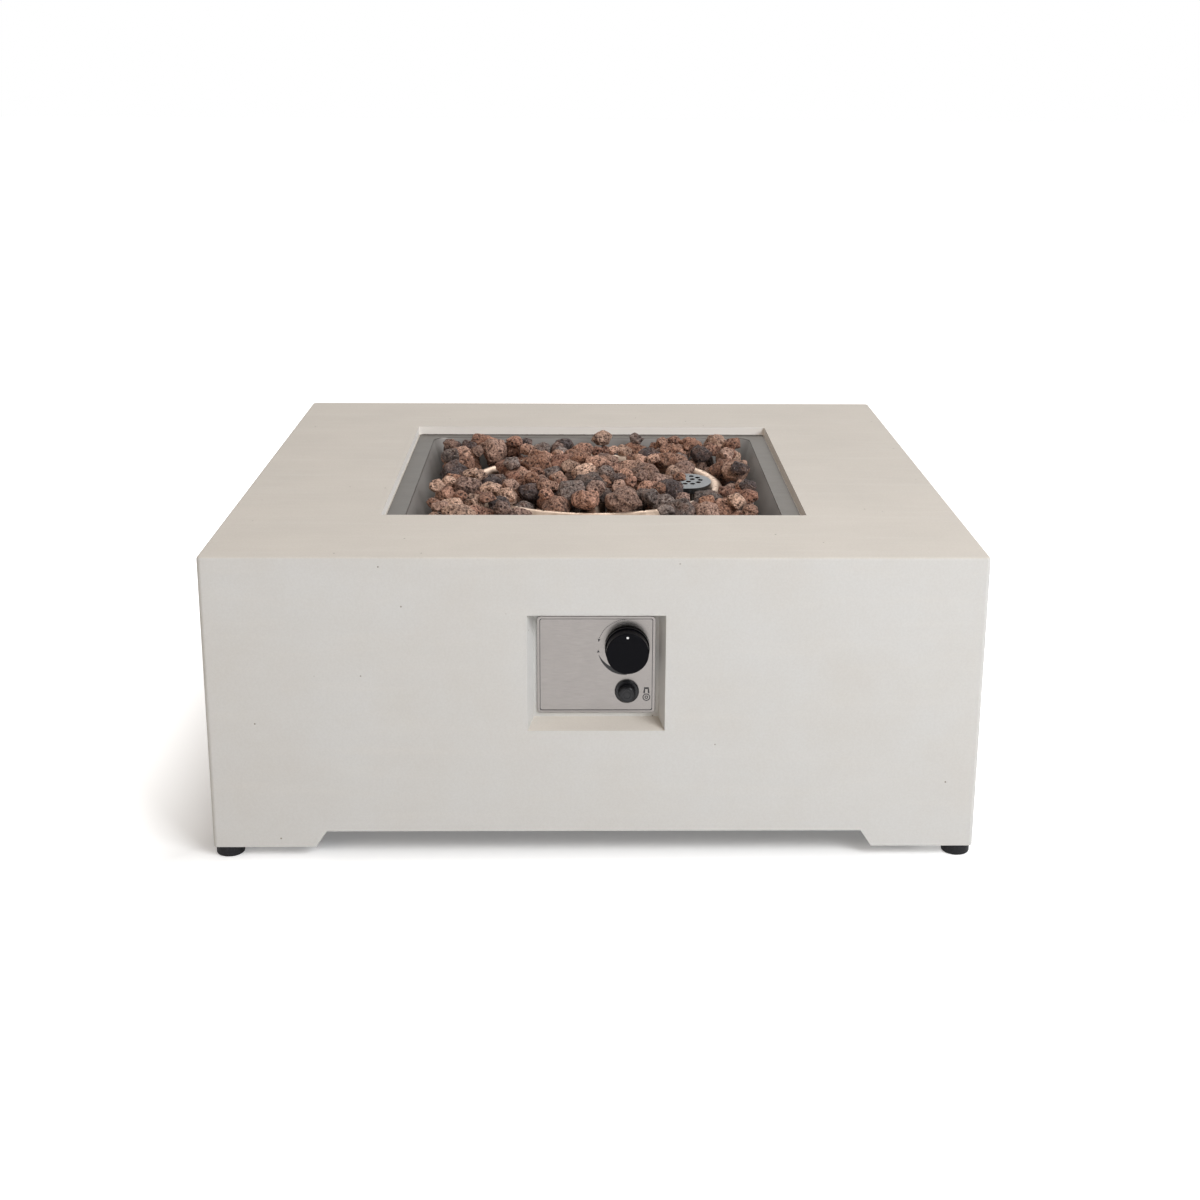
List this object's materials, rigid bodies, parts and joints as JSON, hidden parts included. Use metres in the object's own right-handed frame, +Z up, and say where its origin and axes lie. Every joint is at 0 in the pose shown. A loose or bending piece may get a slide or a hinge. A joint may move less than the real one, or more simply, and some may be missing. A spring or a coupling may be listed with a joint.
{
  "type": "gas fire table",
  "caption": "Square moulded fire table with a steel burner pan of lava rock, a ring burner, and a recessed plate with a gas knob and an igniter button.",
  "frame": {"origin": "on the ground, below the middle of the square casing", "axes": "+Z up, the control recess faces -Y, +X to the right seen from the front"},
  "size_m": [0.813, 0.813, 0.3411],
  "materials": {
    "moulded_stone": "matte",
    "brushed_steel": "satin",
    "plate_steel": "satin",
    "guard_steel": "satin",
    "zinc_steel": "satin",
    "spring_steel": "satin",
    "line_steel": "satin",
    "probe_steel": "satin",
    "brass": "satin",
    "die_cast": "satin",
    "black_plastic": "satin",
    "pad_plastic": "matte",
    "battery_jacket": "gloss",
    "white_ceramic": "satin",
    "copper_lead": "satin",
    "lead_insulation": "matte",
    "lava": "matte"
  },
  "bodies": {
    "base": {"casing": "moulded_stone", "foot_inserts": "brass", "burner_pan": "brushed_steel", "ring_burner": "brushed_steel", "burner_crossbar": "brushed_steel", "burner_nut": "zinc_steel", "air_mixer": "zinc_steel", "gas_injector": "brass", "gas_line": "line_steel", "line_nuts": "brass", "control_plate": "plate_steel", "panel_nuts": "zinc_steel", "valve_body": "die_cast", "knob_spring": "spring_steel", "valve_screws": "zinc_steel", "magnet_unit": "brass", "inlet_fitting": "brass", "igniter_housing": "black_plastic", "igniter_nut": "black_plastic", "battery": "battery_jacket", "button_spring": "spring_steel", "rock_guard": "guard_steel", "sensor_bracket": "guard_steel", "sensor_screws": "zinc_steel", "sensor_nuts": "zinc_steel", "thermocouple": "probe_steel", "electrode_insulator": "white_ceramic", "electrode_wire": "probe_steel", "thermocouple_lead": "copper_lead", "ignition_lead": "lead_insulation", "lava_rocks_bed": "lava", "lava_rocks_fill": "lava", "lava_rocks_inside": "lava", "lava_rocks_outside": "lava"},
    "valve_plug": {"valve_plug": "brass"},
    "knob": {"knob": "black_plastic", "valve_spindle": "zinc_steel"},
    "igniter_button": {"igniter_button": "black_plastic"},
    "pad_front_left": {"foot_pad_front_left": "pad_plastic"},
    "stud_front_left": {"foot_stud_front_left": "zinc_steel"},
    "pad_front_right": {"foot_pad_front_right": "pad_plastic"},
    "stud_front_right": {"foot_stud_front_right": "zinc_steel"},
    "pad_back_left": {"foot_pad_back_left": "pad_plastic"},
    "stud_back_left": {"foot_stud_back_left": "zinc_steel"},
    "pad_back_right": {"foot_pad_back_right": "pad_plastic"},
    "stud_back_right": {"foot_stud_back_right": "zinc_steel"}
  },
  "joints": [
    {"name": "level_front_left", "type": "slide", "parent": "base", "child": "pad_front_left", "axis": [0, 0, -1], "range_m": [0, 0.01]},
    {"name": "screw_front_left", "type": "hinge", "parent": "pad_front_left", "child": "stud_front_left", "pos_m": [-0.391, -0.391, 0.012], "axis": [0, 0, -1], "range_deg": [0, 2880.5]},
    {"name": "level_front_right", "type": "slide", "parent": "base", "child": "pad_front_right", "axis": [0, 0, -1], "range_m": [0, 0.01]},
    {"name": "screw_front_right", "type": "hinge", "parent": "pad_front_right", "child": "stud_front_right", "pos_m": [0.391, -0.391, 0.012], "axis": [0, 0, -1], "range_deg": [0, 2880.5]},
    {"name": "level_back_left", "type": "slide", "parent": "base", "child": "pad_back_left", "axis": [0, 0, -1], "range_m": [0, 0.01]},
    {"name": "screw_back_left", "type": "hinge", "parent": "pad_back_left", "child": "stud_back_left", "pos_m": [-0.391, 0.391, 0.012], "axis": [0, 0, -1], "range_deg": [0, 2880.5]},
    {"name": "level_back_right", "type": "slide", "parent": "base", "child": "pad_back_right", "axis": [0, 0, -1], "range_m": [0, 0.01]},
    {"name": "screw_back_right", "type": "hinge", "parent": "pad_back_right", "child": "stud_back_right", "pos_m": [0.391, 0.391, 0.012], "axis": [0, 0, -1], "range_deg": [0, 2880.5]},
    {"name": "gas_turn", "type": "hinge", "parent": "base", "child": "valve_plug", "pos_m": [0.034, -0.36, 0.2285], "axis": [0, -1, 0], "range_deg": [0, 210]},
    {"name": "knob_push", "type": "slide", "parent": "valve_plug", "child": "knob", "axis": [0, 1, 0], "range_m": [0, 0.0035], "stiffness_N_per_m": 900, "springref_m": -0.004, "deforming": ["knob_spring"]},
    {"name": "igniter_push", "type": "slide", "parent": "base", "child": "igniter_button", "axis": [0, 1, 0], "range_m": [0, 0.004], "stiffness_N_per_m": 600, "springref_m": -0.004, "deforming": ["button_spring"]}
  ],
  "couplings": [
    {"joint": "screw_front_left", "follows": "level_front_left", "rad_per_m": 5026.5},
    {"joint": "screw_front_right", "follows": "level_front_right", "rad_per_m": 5026.5},
    {"joint": "screw_back_left", "follows": "level_back_left", "rad_per_m": 5026.5},
    {"joint": "screw_back_right", "follows": "level_back_right", "rad_per_m": 5026.5}
  ]
}
